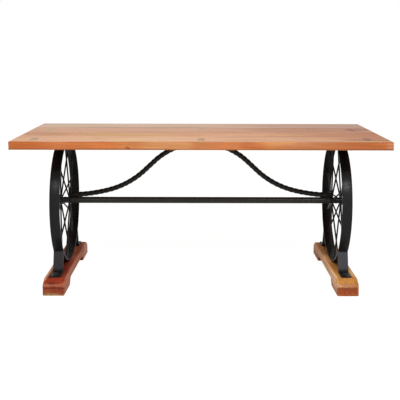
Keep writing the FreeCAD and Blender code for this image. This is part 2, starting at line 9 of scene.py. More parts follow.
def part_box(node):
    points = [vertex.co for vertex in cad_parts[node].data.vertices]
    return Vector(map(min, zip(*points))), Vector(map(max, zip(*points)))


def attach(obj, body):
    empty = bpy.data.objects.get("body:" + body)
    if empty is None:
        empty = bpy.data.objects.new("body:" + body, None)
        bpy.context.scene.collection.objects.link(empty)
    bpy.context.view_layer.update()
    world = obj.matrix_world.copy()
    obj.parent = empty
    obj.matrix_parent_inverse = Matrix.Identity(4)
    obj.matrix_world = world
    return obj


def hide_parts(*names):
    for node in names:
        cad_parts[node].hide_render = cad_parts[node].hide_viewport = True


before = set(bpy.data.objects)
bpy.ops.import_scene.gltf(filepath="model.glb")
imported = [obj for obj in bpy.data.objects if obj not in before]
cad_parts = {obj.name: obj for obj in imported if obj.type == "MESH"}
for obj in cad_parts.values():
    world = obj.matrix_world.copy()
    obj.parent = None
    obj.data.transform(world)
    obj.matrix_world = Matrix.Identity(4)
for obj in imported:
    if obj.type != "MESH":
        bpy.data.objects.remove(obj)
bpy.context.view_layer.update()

bl_info = {
    "name": "Cartwheel Dining Table",
    "version": (1, 0, 0),
    "blender": (4, 5, 0),
    "location": "View3D > Sidebar > Table",
    "description": "Plank top on two iron cartwheels with a twisted brace and wooden feet",
    "category": "Object",
}

MM = 0.001
BODY = "root"
SIDES = {"left": -1, "right": 1}
ENDS = {"front": -1, "rear": 1}
QUARTER = math.radians(90)
X_AXIS = Vector((1, 0, 0))
UP = Vector((0, 0, 1))


def colour(red, green, blue):
    """A colour written as it looks on screen, from 0 to 255, as linear light."""
    linear = []
    for level in (red, green, blue):
        share = level / 255
        linear.append(share / 12.92 if share <= 0.04045 else ((share + 0.055) / 1.055) ** 2.4)
    return tuple(linear)


def scaled(tint, factor):
    """A colour made lighter or darker by a factor."""
    return tuple(level * factor for level in tint)


# Places read from the frame
def middle(node):
    low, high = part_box(node)
    return (low + high) / 2


def half_size(node):
    """Half a node's size along x, y and z."""
    low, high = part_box(node)
    return (high - low) / 2


def points_of(node):
    return [vertex.co.copy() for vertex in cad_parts[node].data.vertices]


# What a user can change
def colour_choice(name, description, default):
    return bpy.props.FloatVectorProperty(
        name=name, description=description, subtype="COLOR", size=3, min=0, max=1, default=default)


def length_choice(name, description, default):
    return bpy.props.FloatProperty(
        name=name, description=description, unit="LENGTH", min=0, default=default)


class WoodSettings(bpy.types.PropertyGroup):
    straw: colour_choice("Straw", "Palest bands of the boards", colour(218, 154, 92))
    honey: colour_choice("Honey", "Common colour of the boards", colour(203, 132, 76))
    russet: colour_choice("Russet", "Redder bands of the boards", colour(186, 104, 56))
    umber: colour_choice("Umber", "Darkest streaks and the knots", colour(112, 60, 38))
    rose: colour_choice("Rose", "Pinker zones of the boards", colour(204, 122, 86))
    mahogany: colour_choice("Mahogany", "Left foot", colour(130, 56, 34))
    gold: colour_choice("Gold", "Right foot", colour(184, 122, 66))
    heart: colour_choice("Heartwood", "Lower part of the right foot", colour(140, 66, 36))
    band_width: length_choice("Band width", "Usual width of a growth band", 9 * MM)


class IronSettings(bpy.types.PropertyGroup):
    paint: colour_choice("Paint", "Black paint on the iron", colour(27, 26, 27))
    bead: length_choice("Weld bead", "Radius of the weld beads", 2.2 * MM)
    twist: length_choice("Quarter turn", "Length of the brace's quarter turn", 27.2 * MM)


class StageSettings(bpy.types.PropertyGroup):
    backdrop: colour_choice("Backdrop", "Floor and background", (1, 1, 1))
    daylight: bpy.props.FloatProperty(
        name="Daylight", description="Strength of the even light", min=0, default=0.36)
    lamp: bpy.props.FloatProperty(
        name="Lamp", description="Power of the main soft lamp", unit="POWER", min=0, default=86)


class TableSettings(bpy.types.PropertyGroup):
    wood: bpy.props.PointerProperty(type=WoodSettings)
    iron: bpy.props.PointerProperty(type=IronSettings)
    stage: bpy.props.PointerProperty(type=StageSettings)


# Shaders
def math_node(operation, reflected=False):
    """An operator between a Value and a number or another Value."""
    def work(self, other):
        terms = (other, self) if reflected else (self, other)
        return self.maths(operation, *terms)
    return work


class Value:
    """A socket of a node. Sums with it add Math nodes."""

    def __init__(self, nodes, socket):
        self.nodes = nodes
        self.socket = socket

    def maths(self, operation, *terms):
        return self.nodes.node("ShaderNodeMath", {"operation": operation}, terms)

    def larger(self, other):
        return self.maths("MAXIMUM", self, other)

    __add__ = math_node("ADD")
    __radd__ = math_node("ADD", reflected=True)
    __sub__ = math_node("SUBTRACT")
    __rsub__ = math_node("SUBTRACT", reflected=True)
    __mul__ = math_node("MULTIPLY")
    __rmul__ = math_node("MULTIPLY", reflected=True)
    __truediv__ = math_node("DIVIDE")
    __rtruediv__ = math_node("DIVIDE", reflected=True)
    __pow__ = math_node("POWER")
    __rpow__ = math_node("POWER", reflected=True)


class Nodes:
    """The nodes of a material or a world, written as expressions."""

    def __init__(self, owner):
        owner.use_nodes = True
        self.tree = owner.node_tree

    def node(self, kind, settings=None, inputs=(), output=0):
        """Add a node and give its output, or each of its outputs that a tuple names."""
        made = self.tree.nodes.new(kind)
        for key, value in (settings or {}).items():
            if key == "stops":
                self.set_stops(made.color_ramp, value)
            else:
                setattr(made, key, value)
        pairs = inputs.items() if isinstance(inputs, dict) else enumerate(inputs)
        for key, value in pairs:
            self.feed(made.inputs[key], value)
        if isinstance(output, tuple):
            return [Value(self, made.outputs[key]) for key in output]
        return Value(self, made.outputs[output])

    def feed(self, socket, value):
        if isinstance(value, Value):
            self.tree.links.new(value.socket, socket)
        elif socket.type == "RGBA":
            socket.default_value = (*value[:3], 1)
        else:
            socket.default_value = value

    def set_stops(self, ramp, stops):
        while len(ramp.elements) < len(stops):
            ramp.elements.new(1)
        for element, (place, tint) in zip(ramp.elements, stops):
            element.position = place
            element.color = (*tint[:3], 1)


class Shader(Nodes):
    """A material's Principled surface and what feeds it."""

    def __init__(self, name, **surface):
        self.material = bpy.data.materials.new(name)
        super().__init__(self.material)
        self.surface = self.tree.nodes["Principled BSDF"]
        self.set(**surface)

    def set(self, **sockets):
        for name, value in sockets.items():
            self.feed(self.surface.inputs[name.replace("_", " ").title().replace("Ior", "IOR")], value)

    def place(self):
        return self.node("ShaderNodeTexCoord", output="Object")

    def split(self, vector):
        return self.node("ShaderNodeSeparateXYZ", inputs=(vector,), output=(0, 1, 2))

    def join(self, across, along, up):
        return self.node("ShaderNodeCombineXYZ", inputs=(across, along, up))

    def vector(self, operation, *terms, output="Vector"):
        return self.node("ShaderNodeVectorMath", {"operation": operation}, terms, output)

    def noise(self, vector, scale=1.0, detail=2.0, roughness=0.5, distortion=0.0):
        inputs = {"Vector": vector, "Scale": scale, "Detail": detail,
                  "Roughness": roughness, "Distortion": distortion}
        return self.node("ShaderNodeTexNoise", inputs=inputs)

    def ramp(self, value, stops):
        return self.node("ShaderNodeValToRGB", {"stops": stops}, (value,))

    def blend(self, factor, first, second, mode="MIX"):
        settings = {"data_type": "RGBA", "blend_type": mode}
        return self.node("ShaderNodeMix", settings, {0: factor, 6: first, 7: second}, output=2)

    def ease(self, value, low, high):
        """0 below low and 1 above high, with a soft step between them."""
        inputs = {"Value": value, "From Min": low, "From Max": high}
        return self.node("ShaderNodeMapRange", {"interpolation_type": "SMOOTHSTEP"}, inputs)

    def bump(self, height, distance, strength=1.0):
        inputs = {"Height": height, "Distance": distance, "Strength": strength}
        return self.node("ShaderNodeBump", inputs=inputs)


# Wood
TOP_FACE = half_size("top_board_1").z
FRONT_FACE = -half_size("top_board_1").y
BAND_STOPS = (0.36, 0.47, 0.57, 0.70)
# Painted shade on the far end of a top face
FAR_END_PAINTED_SHADE = (0.60, 0.44, 0.36)
DARK_STREAK = (0.80, 0.68, 0.58)
PALE_STREAK = (1, 0.86, 0.66)


class Plank(Shader):
    """The shader of a plank, with places along, across and up from its centre."""

    def __init__(self, name, centre, along_y, seed, shine):
        super().__init__(name, specular_ior_level=shine)
        self.seed = seed
        first, second, self.up = self.split(self.vector("SUBTRACT", self.place(), centre))
        self.along, self.across = (second, first) if along_y else (first, second)
        self.grain = self.join(self.along, self.across, self.up)

    def figure(self, factors, detail, roughness=0.5, distortion=0.0, apart=None):
        """Noise drawn out along the grain. Figures that are set apart differ from plank to plank."""
        place = self.grain
        if apart is not None:
            place = self.vector("ADD", place, (self.seed + apart, self.seed, self.seed))
        return self.noise(self.vector("MULTIPLY", place, factors), 1.0, detail, roughness, distortion)

    def pith_distance(self, pith):
        """How far a place is from the pith, which wanders along the plank."""
        wander = self.noise(self.join(self.along * 1.3 + self.seed, self.seed, 0)) - 0.5
        lift = self.noise(self.join(self.along * 0.9 + self.seed, 7.3 + self.seed, 0)) - 0.5
        off_across = self.across + wander * 0.16 - pith[0]
        off_up = self.up + lift * 0.14 - pith[1]
        return (off_across * off_across + off_up * off_up) ** 0.5

    def grow_knots(self, knots, reach, ripple):
        """The distance from the pith, swollen round each knot, and where the knots' hearts are."""
        hearts = None
        for along, across, up, radius in knots:
            step_up = self.up - up
            step_along = (self.along - along + step_up * 0.8) / 1.7
            step_across = self.across - across
            gap = (step_along * step_along + step_across * step_across + step_up * step_up) ** 0.5
            near = 1 - self.ease(gap, 0.0, radius * 4.5)
            reach = reach + near * near * radius * 1.2
            heart = 1 - self.ease(gap + ripple * radius, radius * 0.35, radius)
            hearts = heart if hearts is None else hearts.larger(heart)
        return reach, hearts

    def wear_and_painted_sheen(self, tint, zone, pale, share, tail):
        """Pale the top face, partly as the wood's own tone and partly as a painted sheen, and lay painted
        shade towards its far end.
        """
        face = self.ease(self.up, TOP_FACE - 3 * MM, TOP_FACE)
        tint = self.blend(face * share, tint, pale)
        # Painted shade: the top face darkens towards its far end
        far_end_shade = face * self.ease(self.along + zone * 0.5, 0.1, 1.25) * tail
        return self.blend(far_end_shade, tint, FAR_END_PAINTED_SHADE, "MULTIPLY")

    def patch(self, tint, zone, place, halves, shade, strength):
        """Lay another colour round a place, with a soft and uneven edge."""
        step = self.vector("DIVIDE", self.vector("SUBTRACT", self.grain, place), halves)
        gap = self.vector("LENGTH", step, output="Value")
        share = 1 - self.ease(gap + (zone - 0.5) * 0.7, 0.4, 1.0)
        return self.blend(share * strength, tint, shade)


def wood(name, bands, centre, pith, seed, along_y=False, knots=(), patches=(), blush=None, top_wear_sheen_and_shade=None,
         zoning=0.45, gloss=0.5, shine=0.3):
    """Solid wood with bands that bend round its pith, broad zones, pores, fibres and knots.

    bands are the ramp's colours from the palest to the darkest, and blush is a second colour
    that comes and goes. Places are measured along, across and up from the plank's centre. The
    pith is a place across and up, each knot a place and a radius, and each patch a place, its
    half lengths, its colour and how strong it is. Some patches are painted highlights or painted
    shade. The paler top face, partly the wood's own tone and partly a painted sheen, is given as
    the colour that it pales to and how much, and the painted shade on its far end as how much
    browner that end is.
    """
    plank = Plank(name, centre, along_y, seed, shine)
    band_width = bpy.context.scene.dining_table.wood.band_width
    dark = bands[-1]
    ripple = plank.figure((4.0, 22.0, 22.0), 3.0, 0.55) - 0.5
    reach = plank.pith_distance(pith) + ripple * 0.014
    reach, hearts = plank.grow_knots(knots, reach, ripple)
    band_place = plank.join(plank.along * 0.35 + seed, reach / band_width, seed * 3.1)
    band = plank.noise(band_place, 1.0, 3.0, 0.62)
    zone = plank.figure((1.6, 11.0, 16.0), 3.0, 0.5, 0.4, apart=0)
    tint = plank.ramp(band * (1 - zoning) + zone * zoning, list(zip(BAND_STOPS, bands)))
    if blush:
        flush = plank.figure((1.9, 13.0, 12.0), 2.0, 0.5, 0.3, apart=3)
        tint = plank.blend(plank.ease(flush, 0.45, 0.57) * 0.85, tint, blush)
    # The top face's paleness is partly a painted sheen, and its far end gets painted shade
    if top_wear_sheen_and_shade:
        tint = plank.wear_and_painted_sheen(tint, zone, *top_wear_sheen_and_shade)
    for facts in patches:
        tint = plank.patch(tint, zone, *facts)
    streak = plank.figure((3.2, 70.0, 120.0), 3.0, 0.55, 0.3, apart=9)
    tint = plank.blend(plank.ease(streak, 0.50, 0.64) * 0.55, tint, DARK_STREAK, "MULTIPLY")
    tint = plank.blend(0.4 - plank.ease(streak, 0.36, 0.48) * 0.4, tint, PALE_STREAK, "SOFT_LIGHT")
    fibre = plank.figure((9.0, 420.0, 420.0), 3.0, 0.6)
    tint = plank.blend(plank.ease(fibre, 0.50, 0.72) * 0.20, tint, dark)
    line_place = plank.join(plank.along * 1.5 + seed, reach / (band_width * 0.3), seed)
    line = plank.ease(plank.noise(line_place), 0.58, 0.72)
    tint = plank.blend(line * 0.16, tint, dark)
    pore = plank.ease(plank.figure((55.0, 1500.0, 1500.0), 1.0), 0.64, 0.70)
    tint = plank.blend(pore * 0.3, tint, dark)
    height = fibre * 0.35 - pore * 0.8 - line * 0.25
    if hearts:
        tint = plank.blend(hearts * 0.8, tint, dark)
        height = height - hearts * 0.6
    rough = gloss + (fibre - 0.5) * 0.16 + pore * 0.15
    plank.set(base_color=tint, roughness=rough, normal=plank.bump(height, 0.25 * MM, 0.6))
    return plank.material


# Metals
# Painted shade: a near-black tint laid where the iron looks dark from shade, on the strap toes and inside
# the rims
PAINTED_SHADE_TINT = colour(9, 5, 2)
# The spoke rods' paint is darker than the other iron, as painted shade that keeps them dark against the
# rims
ROD_PAINT_WITH_PAINTED_SHADE = colour(22, 19, 16)
# The stretcher's paint is warmer than the other iron, and lighter as painted light for the highlight along
# the tube
STRETCHER_PAINT_WITH_PAINTED_LIGHT = colour(33, 31, 27)
BRACE_PAINT = colour(30, 28, 24)
# The straps' paints are lighter than the other iron, the right one most, as painted light for the sheen the
# lamps give them
STRAP_PAINTS_WITH_PAINTED_LIGHT = {"left": colour(31, 28, 30), "right": colour(42, 41, 44)}
STEEL_STOPS = ((0.3, colour(52, 50, 50)), (0.7, colour(96, 92, 88)))
INLAY_STOPS = ((0.3, colour(154, 120, 90)), (0.55, colour(174, 137, 102)), (0.75, colour(188, 154, 120)))
INLAY_BRUSHED = colour(104, 84, 64)
INLAY_PALE = colour(202, 166, 134)
INLAY_RED = colour(118, 60, 36)


def painted_iron(name, paint, painted_shade=None, shine=0.12, sheen=(1, 1, 1)):
    """Satin black paint over forged iron, with a faint hammered skin, and edges lightened partly as rubbed
    paint and partly as a painted highlight.

    painted_shade gives how much painted shade darkens and dulls the paint at a place, and sheen tints what
    it reflects.
    """
    shader = Shader(name, specular_ior_level=shine, specular_tint=sheen)
    spot = shader.place()
    skin = shader.noise(spot, 190.0, 3.0, 0.55)
    mottle = shader.noise(spot, 26.0, 4.0, 0.6)
    grit = shader.noise(spot, 1900.0, 2.0, 0.6)
    rub = shader.ease(mottle, 0.56, 0.72)
    edge = shader.node("ShaderNodeNewGeometry", output="Pointiness")
    # Sharp edges are lightened, partly as rubbed paint and partly as a painted highlight
    wear_and_painted_sheen = shader.ease(edge + (mottle - 0.5) * 0.05, 0.53, 0.60)
    tint = shader.blend(rub * 0.35, paint, scaled(paint, 1.7))
    tint = shader.blend(wear_and_painted_sheen * 0.5, tint, scaled(paint, 3.2))
    rough = 0.29 + (mottle - 0.5) * 0.14 + (grit - 0.5) * 0.08
    # Painted shade darkens the paint where its share says so, and roughens it
    if painted_shade:
        share = painted_shade(shader, spot)
        tint = shader.blend(share, tint, PAINTED_SHADE_TINT)
        rough = rough + share * 0.15
    height = skin * 0.7 + grit * 0.12
    shader.set(base_color=tint, roughness=rough, normal=shader.bump(height, 0.35 * MM, 0.45))
    return shader.material


def toe_painted_shade(toe):
    """Painted shade under a height, which darkens the strap toes."""
    def share(shader, spot):
        return 0.95 - shader.ease(shader.split(spot)[2], toe - 4 * MM, toe + 12 * MM) * 0.95
    return share


def rim_inside_painted_shade(centre, inner):
    """Painted shade on the inside of a rim."""
    def share(shader, spot):
        across, along, up = shader.split(shader.vector("SUBTRACT", spot, centre))
        reach = (along * along + up * up) ** 0.5
        return 0.85 - shader.ease(reach, inner + 0.3 * MM, inner + 2 * MM) * 0.85
    return share


@cache
def black_iron():
    """The painted iron that several pieces share."""
    return painted_iron("black_iron", bpy.context.scene.dining_table.iron.paint)


@cache
def weld_metal():
    """Painted weld beads: the same black, rougher and lumpier."""
    paint = bpy.context.scene.dining_table.iron.paint
    shader = Shader("painted_weld", specular_ior_level=0.14)
    ripple = shader.noise(shader.place(), 700.0, 3.0, 0.6)
    tint = shader.blend(ripple, paint, scaled(paint, 1.5))
    shader.set(base_color=tint, roughness=0.45 + ripple * 0.2, normal=shader.bump(ripple, 0.4 * MM, 0.7))
    return shader.material


@cache
def blackened_steel():
    """Blackened steel fixings with a brushed lustre."""
    shader = Shader("blackened_steel", metallic=0.85)
    spot = shader.place()
    patch = shader.noise(spot, 60.0, 3.0, 0.55)
    grit = shader.noise(spot, 2400.0, 2.0, 0.6)
    rough = 0.34 + patch * 0.2 + (grit - 0.5) * 0.1
    tint = shader.ramp(patch, STEEL_STOPS)
    shader.set(base_color=tint, roughness=rough, normal=shader.bump(grit, 0.05 * MM, 0.4))
    return shader.material


@cache
def inlay_metal():
    """Dull brass-grey metal, brushed along the inlay, stained, and redder to the right."""
    shader = Shader("inlay_metal", metallic=0.3)
    spot = shader.place()
    stroke = shader.noise(shader.vector("MULTIPLY", spot, (1600.0, 30.0, 30.0)), 1.0, 2.0, 0.6)
    stain = shader.noise(spot, 42.0, 4.0, 0.6)
    tint = shader.blend(stroke * 0.2, shader.ramp(stain, INLAY_STOPS), INLAY_BRUSHED)
    across, along, up = shader.split(spot)
    tint = shader.blend(shader.ease(along, -0.1, 0.1) * 0.55, tint, INLAY_PALE)
    tint = shader.blend(shader.ease(across, 0.3, 0.7) * 0.9, tint, INLAY_RED)
    rough = 0.5 + stain * 0.18 + (stroke - 0.5) * 0.15
    shader.set(base_color=tint, roughness=rough, normal=shader.bump(stroke, 0.04 * MM, 0.4))
    return shader.material


def paint_node(node, material):
    """Give a CAD node that stays a finish of its own."""
    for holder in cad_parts[node].material_slots:
        holder.material = material


# Meshes
BEAD_SIDES = 8
BEAD_RING_STEPS = 20


class Form:
    """The points and faces of a piece while it is made."""

    def __init__(self):
        self.points = []
        self.faces = []

    def loft(self, rings, closed=False):
        """Skin a row of rings that have the same number of points, and cap it where it is open."""
        start = len(self.points)
        count = len(rings[0])
        for ring in rings:
            self.points.extend(tuple(point) for point in ring)
        rows = len(rings) if closed else len(rings) - 1
        for row in range(rows):
            here = start + row * count
            there = start + (row + 1) % len(rings) * count
            for index in range(count):
                beside = (index + 1) % count
                self.faces.append((here + index, here + beside, there + beside, there + index))
        if not closed:
            last = start + (len(rings) - 1) * count
            self.faces.append(tuple(start + index for index in reversed(range(count))))
            self.faces.append(tuple(last + index for index in range(count)))

    def sweep(self, outline, places, closed=False):
        """Carry an outline past places, each a centre and the directions of across and up."""
        rings = []
        for centre, side, other in places:
            rings.append([centre + side * across + other * up for across, up in outline])
        self.loft(rings, closed)

    def turn(self, profile, centre, axis, count=48, closed=False):
        """Turn a profile of (distance along the axis, radius) about an axis through the centre."""
        side, other = square_to(axis)
        places = [(centre + axis * distance, side * radius, other * radius) for distance, radius in profile]
        self.sweep(round_outline(count), places, closed)

    def make(self, name, slot, material, sharp=35):
        mesh = bpy.data.meshes.new(name)
        mesh.from_pydata(self.points, [], self.faces)
        mesh.validate()
        mesh.shade_smooth()
        mesh.set_sharp_from_angle(angle=math.radians(sharp))
        mesh.materials.append(material)
        piece = bpy.data.objects.new(name, mesh)
        bpy.context.collection.objects.link(piece)
        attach(piece, BODY)
        return piece


class Welds(Form):
    """Lumpy weld beads that are made as one piece."""

    def __init__(self):
        super().__init__()
        self.bead = bpy.context.scene.dining_table.iron.bead

    def ring(self, centre, axis, radius, seed):
        """A bead round a rod where it meets a face."""
        side, other = square_to(axis)
        places = []
        for across, up in round_outline(BEAD_RING_STEPS):
            out = side * across + other * up
            size = self.bead * (1 + 0.35 * lump(Vector((across * 2, up * 2, seed))))
            places.append((centre + out * radius, out * size * 0.9, axis * size))
        self.sweep(round_outline(BEAD_SIDES), places, closed=True)

    def line(self, start, end, seed, scale=1.0):
        """A rippled bead along a straight joint, thinner at its ends."""
        bead = self.bead * scale
        axis = (end - start).normalized()
        side, other = square_to(axis)
        length = (end - start).length
        steps = max(8, int(length / (bead * 0.7)))
        places = []
        for index in range(steps + 1):
            share = index / steps
            swell = 1 + 0.18 * math.sin(index * 2.4) + 0.25 * lump(Vector((share * length * 90, seed, 0)))
            size = bead * swell * min(1, 0.35 + min(share, 1 - share) * steps / 3)
            places.append((start + axis * (share * length), side * size, other * size))
        self.sweep(round_outline(BEAD_SIDES), places)

    def finish(self, name):
        self.make(name, "black_iron", weld_metal(), 60)


def square_to(axis):
    """Two unit directions square to an axis and to each other, so that they turn about it."""
    helper = UP if abs(axis.z) < 0.9 else X_AXIS
    side = axis.cross(helper).normalized()
    return side, axis.cross(side).normalized()


def mirrored(half):
    """A profile of (distance, radius) up to its middle, and its mirror image."""
    return half + [(-distance, radius) for distance, radius in reversed(half)]


def outline_at(turns, reaches):
    """The outline, as (across, up), that has each reach from its middle at each turn."""
    return [(reach * math.cos(turn), reach * math.sin(turn)) for turn, reach in zip(turns, reaches)]


def round_outline(count):
    return outline_at([math.tau * index / count for index in range(count)], [1] * count)


def rounded_outline(width, height, radius, steps=3):
    """The outline of a rectangle with rounded corners."""
    outline = []
    for quarter, (across, up) in enumerate(((1, 1), (-1, 1), (-1, -1), (1, -1))):
        for step in range(steps + 1):
            angle = QUARTER * (quarter + step / steps)
            outline.append((across * (width / 2 - radius) + radius * math.cos(angle),
                            up * (height / 2 - radius) + radius * math.sin(angle)))
    return outline


# Plank top
PATCH_DEPTH = 0.05
FRONT_EDGE = (
    (-0.92, 0.36, colour(175, 90, 35), 0.95),
    (-0.50, 0.28, colour(176, 97, 42), 0.92),
    (-0.29, 0.14, colour(174, 106, 54), 0.88),
    (-0.14, 0.20, colour(186, 126, 76), 0.92),
    (0.02, 0.10, colour(170, 104, 54), 0.8),
    (0.13, 0.13, colour(178, 104, 56), 0.9),
    (0.36, 0.16, colour(178, 108, 46), 0.92),
    (0.24, 0.08, colour(170, 91, 40), 0.92),
    (0.62, 0.28, colour(167, 98, 50), 0.95),
    (0.92, 0.30, colour(162, 86, 36), 0.95),
    (0.90, 0.04, colour(172, 114, 80), 0.65),
)


def edge_patches(turned):
    """The front edge's patches, each a place and half length along it, a colour and a strength.

    turned is 1 at the front, and -1 for the same patches turned round to the rear edge.
    """
    patches = []
    for along, half, tint, strength in FRONT_EDGE:
        patches.append(((turned * along, turned * FRONT_FACE, 0), (half, 0.02, 0.08), tint, strength))
    return patches


def face_patch(along, across, half_along, half_across, tint, strength):
    """A patch on the top face of a board."""
    return (along, across, TOP_FACE), (half_along, half_across, PATCH_DEPTH), colour(*tint), strength


# Each board's paler top face is partly a painted sheen, with painted shade on its far end
BOARDS = {
    1: {
        "pith": (0.03, -0.10), "top_wear_sheen_and_shade": (colour(228, 204, 170), 0.42, 1.0), "gloss": 0.6,
        "knots": ((-0.342, FRONT_FACE, -0.010, 0.009), (0.46, 0.03, TOP_FACE, 0.008)),
        "patches": (
            *edge_patches(1),
            # Painted shade along the bottom arris of the front edge
            ((0, FRONT_FACE, -TOP_FACE), (2.0, 0.02, 0.010), colour(128, 70, 34), 0.75),
            face_patch(-0.36, -0.04, 0.16, 0.07, (216, 176, 118), 0.6),
            face_patch(-0.84, -0.02, 0.1, 0.06, (206, 170, 112), 0.5),
            face_patch(0.40, -0.02, 0.36, 0.12, (196, 146, 112), 0.5),
            face_patch(0.80, -0.02, 0.16, 0.035, (132, 84, 62), 0.75),
            face_patch(0.83, -0.07, 0.08, 0.02, (176, 146, 84), 0.85),
            face_patch(0.80, 0.05, 0.14, 0.02, (140, 88, 60), 0.55),
        ),
    },
    2: {
        "pith": (-0.05, -0.07), "top_wear_sheen_and_shade": (colour(224, 202, 168), 0.30, 0.9), "gloss": 0.6,
        "knots": ((-0.62, 0.05, TOP_FACE, 0.008),),
        "patches": (
            face_patch(-0.42, -0.03, 0.34, 0.07, (196, 150, 88), 0.7),
            face_patch(-0.80, 0.0, 0.2, 0.12, (176, 124, 84), 0.6),
            face_patch(0.62, 0.02, 0.3, 0.03, (158, 100, 70), 0.5),
            face_patch(-0.15, 0.09, 0.5, 0.02, (166, 110, 74), 0.6),
        ),
    },
    3: {
        "pith": (0.06, 0.12), "top_wear_sheen_and_shade": (colour(204, 172, 142), 0.5, 1.0), "gloss": 0.5,
        "knots": ((0.58, 0.045, TOP_FACE, 0.012), (-0.12, -0.05, TOP_FACE, 0.006)),
        "patches": (
            face_patch(-0.35, 0.095, 0.5, 0.03, (166, 122, 92), 0.8),
            face_patch(0.52, 0.0, 0.4, 0.14, (172, 110, 68), 0.6),
            face_patch(0.83, 0.0, 0.1, 0.05, (122, 78, 60), 0.75),
            face_patch(0.46, 0.07, 0.34, 0.02, (146, 92, 62), 0.55),
            face_patch(0.88, -0.07, 0.06, 0.03, (190, 144, 82), 0.6),
        ),
    },
    4: {
        "pith": (-0.02, -0.12), "top_wear_sheen_and_shade": (colour(210, 188, 158), 0.6, 0.95), "gloss": 0.42,
        "knots": ((0.2, 0.0, TOP_FACE, 0.009),),
        "patches": (
            face_patch(-0.3, -0.09, 0.55, 0.03, (170, 126, 92), 0.7),
            face_patch(0.60, -0.02, 0.5, 0.12, (170, 118, 88), 0.65),
            face_patch(-0.1, 0.105, 1.3, 0.02, (206, 188, 166), 0.6),
            *edge_patches(-1),
        ),
    },
}


class DINING_TABLE_OT_plank_top(bpy.types.Operator):
    """Give each board of the top wood of its own"""
    bl_idname = "dining_table.plank_top"
    bl_label = "Plank top"

    def execute(self, context):
        settings = context.scene.dining_table.wood
        bands = (settings.straw, settings.honey, settings.russet, settings.umber)
        for board, facts in BOARDS.items():
            node = "top_board_%d" % board
            finish = wood(node + "_wood", bands, middle(node), seed=board * 5.7,
                          blush=settings.rose, **facts)
            paint_node(node, finish)
        return {"FINISHED"}


class DINING_TABLE_OT_inlays(bpy.types.Operator):
    """Finish the metal inlays of the top"""
    bl_idname = "dining_table.inlays"
    bl_label = "Metal inlays"

    def execute(self, context):
        for end_name in ENDS:
            paint_node(end_name + "_inlays", inlay_metal())
        return {"FINISHED"}


# Wheels
RIM_ROUND = 1.6 * MM
RIM_STEPS = 240
SEAM_HEIGHTS = (128 * MM, 138 * MM)
SEAM_INSET = 3 * MM
SEAM_DEPTH = 1.2 * MM
HUB_BARREL = 16 * MM
HUB_BORE = 6.5 * MM
HUB_FLANGE = 8 * MM
HUB_EDGE = 1 * MM
TUBE_SIDES = 64
ROD_RADIUS = 4 * MM
ROD_SIDES = 24


def rim_radii(node, centre):
    reaches = [(point - centre).yz.length for point in points_of(node)]
    return min(reaches), max(reaches)


def seam_end(centre, outer, across, height):
    """A place just under a rim's front face, at a height over its hub."""
    return Vector((across, SEAM_DEPTH - math.sqrt(outer * outer - height * height), centre.z + height))


def spoke_ends(node, hub):
    """The middles of a rod's two ends, the hub's first, read from its CAD solid."""
    points = sorted(points_of(node), key=lambda point: (point - hub).length)
    half = len(points) // 2
    return [sum(end, Vector()) / len(end) for end in (points[:half], points[half:])]


class DINING_TABLE_OT_rims(bpy.types.Operator):
    """Forge the two wheel rims from flat iron"""
    bl_idname = "dining_table.rims"
    bl_label = "Wheel rims"

    def execute(self, context):
        settings = context.scene.dining_table.iron
        for name in SIDES:
            node = name + "_wheel_rim"
            centre = middle(node)
            low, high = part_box(node)
            inner, outer = rim_radii(node, centre)
            places = []
            for up, along in round_outline(RIM_STEPS):
                out = Vector((0, along, up))
                places.append((centre + out * (inner + outer) / 2, X_AXIS, out))
            form = Form()
            form.sweep(rounded_outline(high.x - low.x, outer - inner, RIM_ROUND), places, closed=True)
            # The inside of the rim gets painted shade
            paint = painted_iron(name + "_rim_iron", settings.paint, rim_inside_painted_shade(centre, inner),
                                 shine=0.1, sheen=(1, 0.97, 0.93))
            piece = form.make(name + "_rim", "black_iron", paint)
            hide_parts(node)
            seam = Welds()
            start = seam_end(centre, outer, low.x + SEAM_INSET, SEAM_HEIGHTS[0])
            end = seam_end(centre, outer, high.x - SEAM_INSET, SEAM_HEIGHTS[1])
            seam.line(start, end, centre.x)
            seam.finish(name + "_rim_seam")
        return {"FINISHED"}


class DINING_TABLE_OT_hubs(bpy.types.Operator):
    """Turn the two hubs, with flanges, fillets and a raised middle band"""
    bl_idname = "dining_table.hubs"
    bl_label = "Wheel hubs"

    def execute(self, context):
        for name in SIDES:
            node = name + "_wheel_hub"
            size = half_size(node)
            shoulder = size.x - HUB_FLANGE
            profile = mirrored([
                (-size.x, HUB_BORE),
                (-size.x, size.z - HUB_EDGE),
                (-size.x + HUB_EDGE, size.z),
                (-shoulder - HUB_EDGE, size.z),
                (-shoulder, size.z - HUB_EDGE),
                (-shoulder, HUB_BARREL + 2 * HUB_EDGE),
                (-shoulder + 2 * HUB_EDGE, HUB_BARREL),
                (-size.x * 0.25, HUB_BARREL),
                (-size.x * 0.2, HUB_BARREL + HUB_EDGE),
            ])
            form = Form()
            form.turn(profile, middle(node), X_AXIS, TUBE_SIDES, closed=True)
            piece = form.make(name + "_hub", "black_iron", black_iron())
            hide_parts(node)
        return {"FINISHED"}


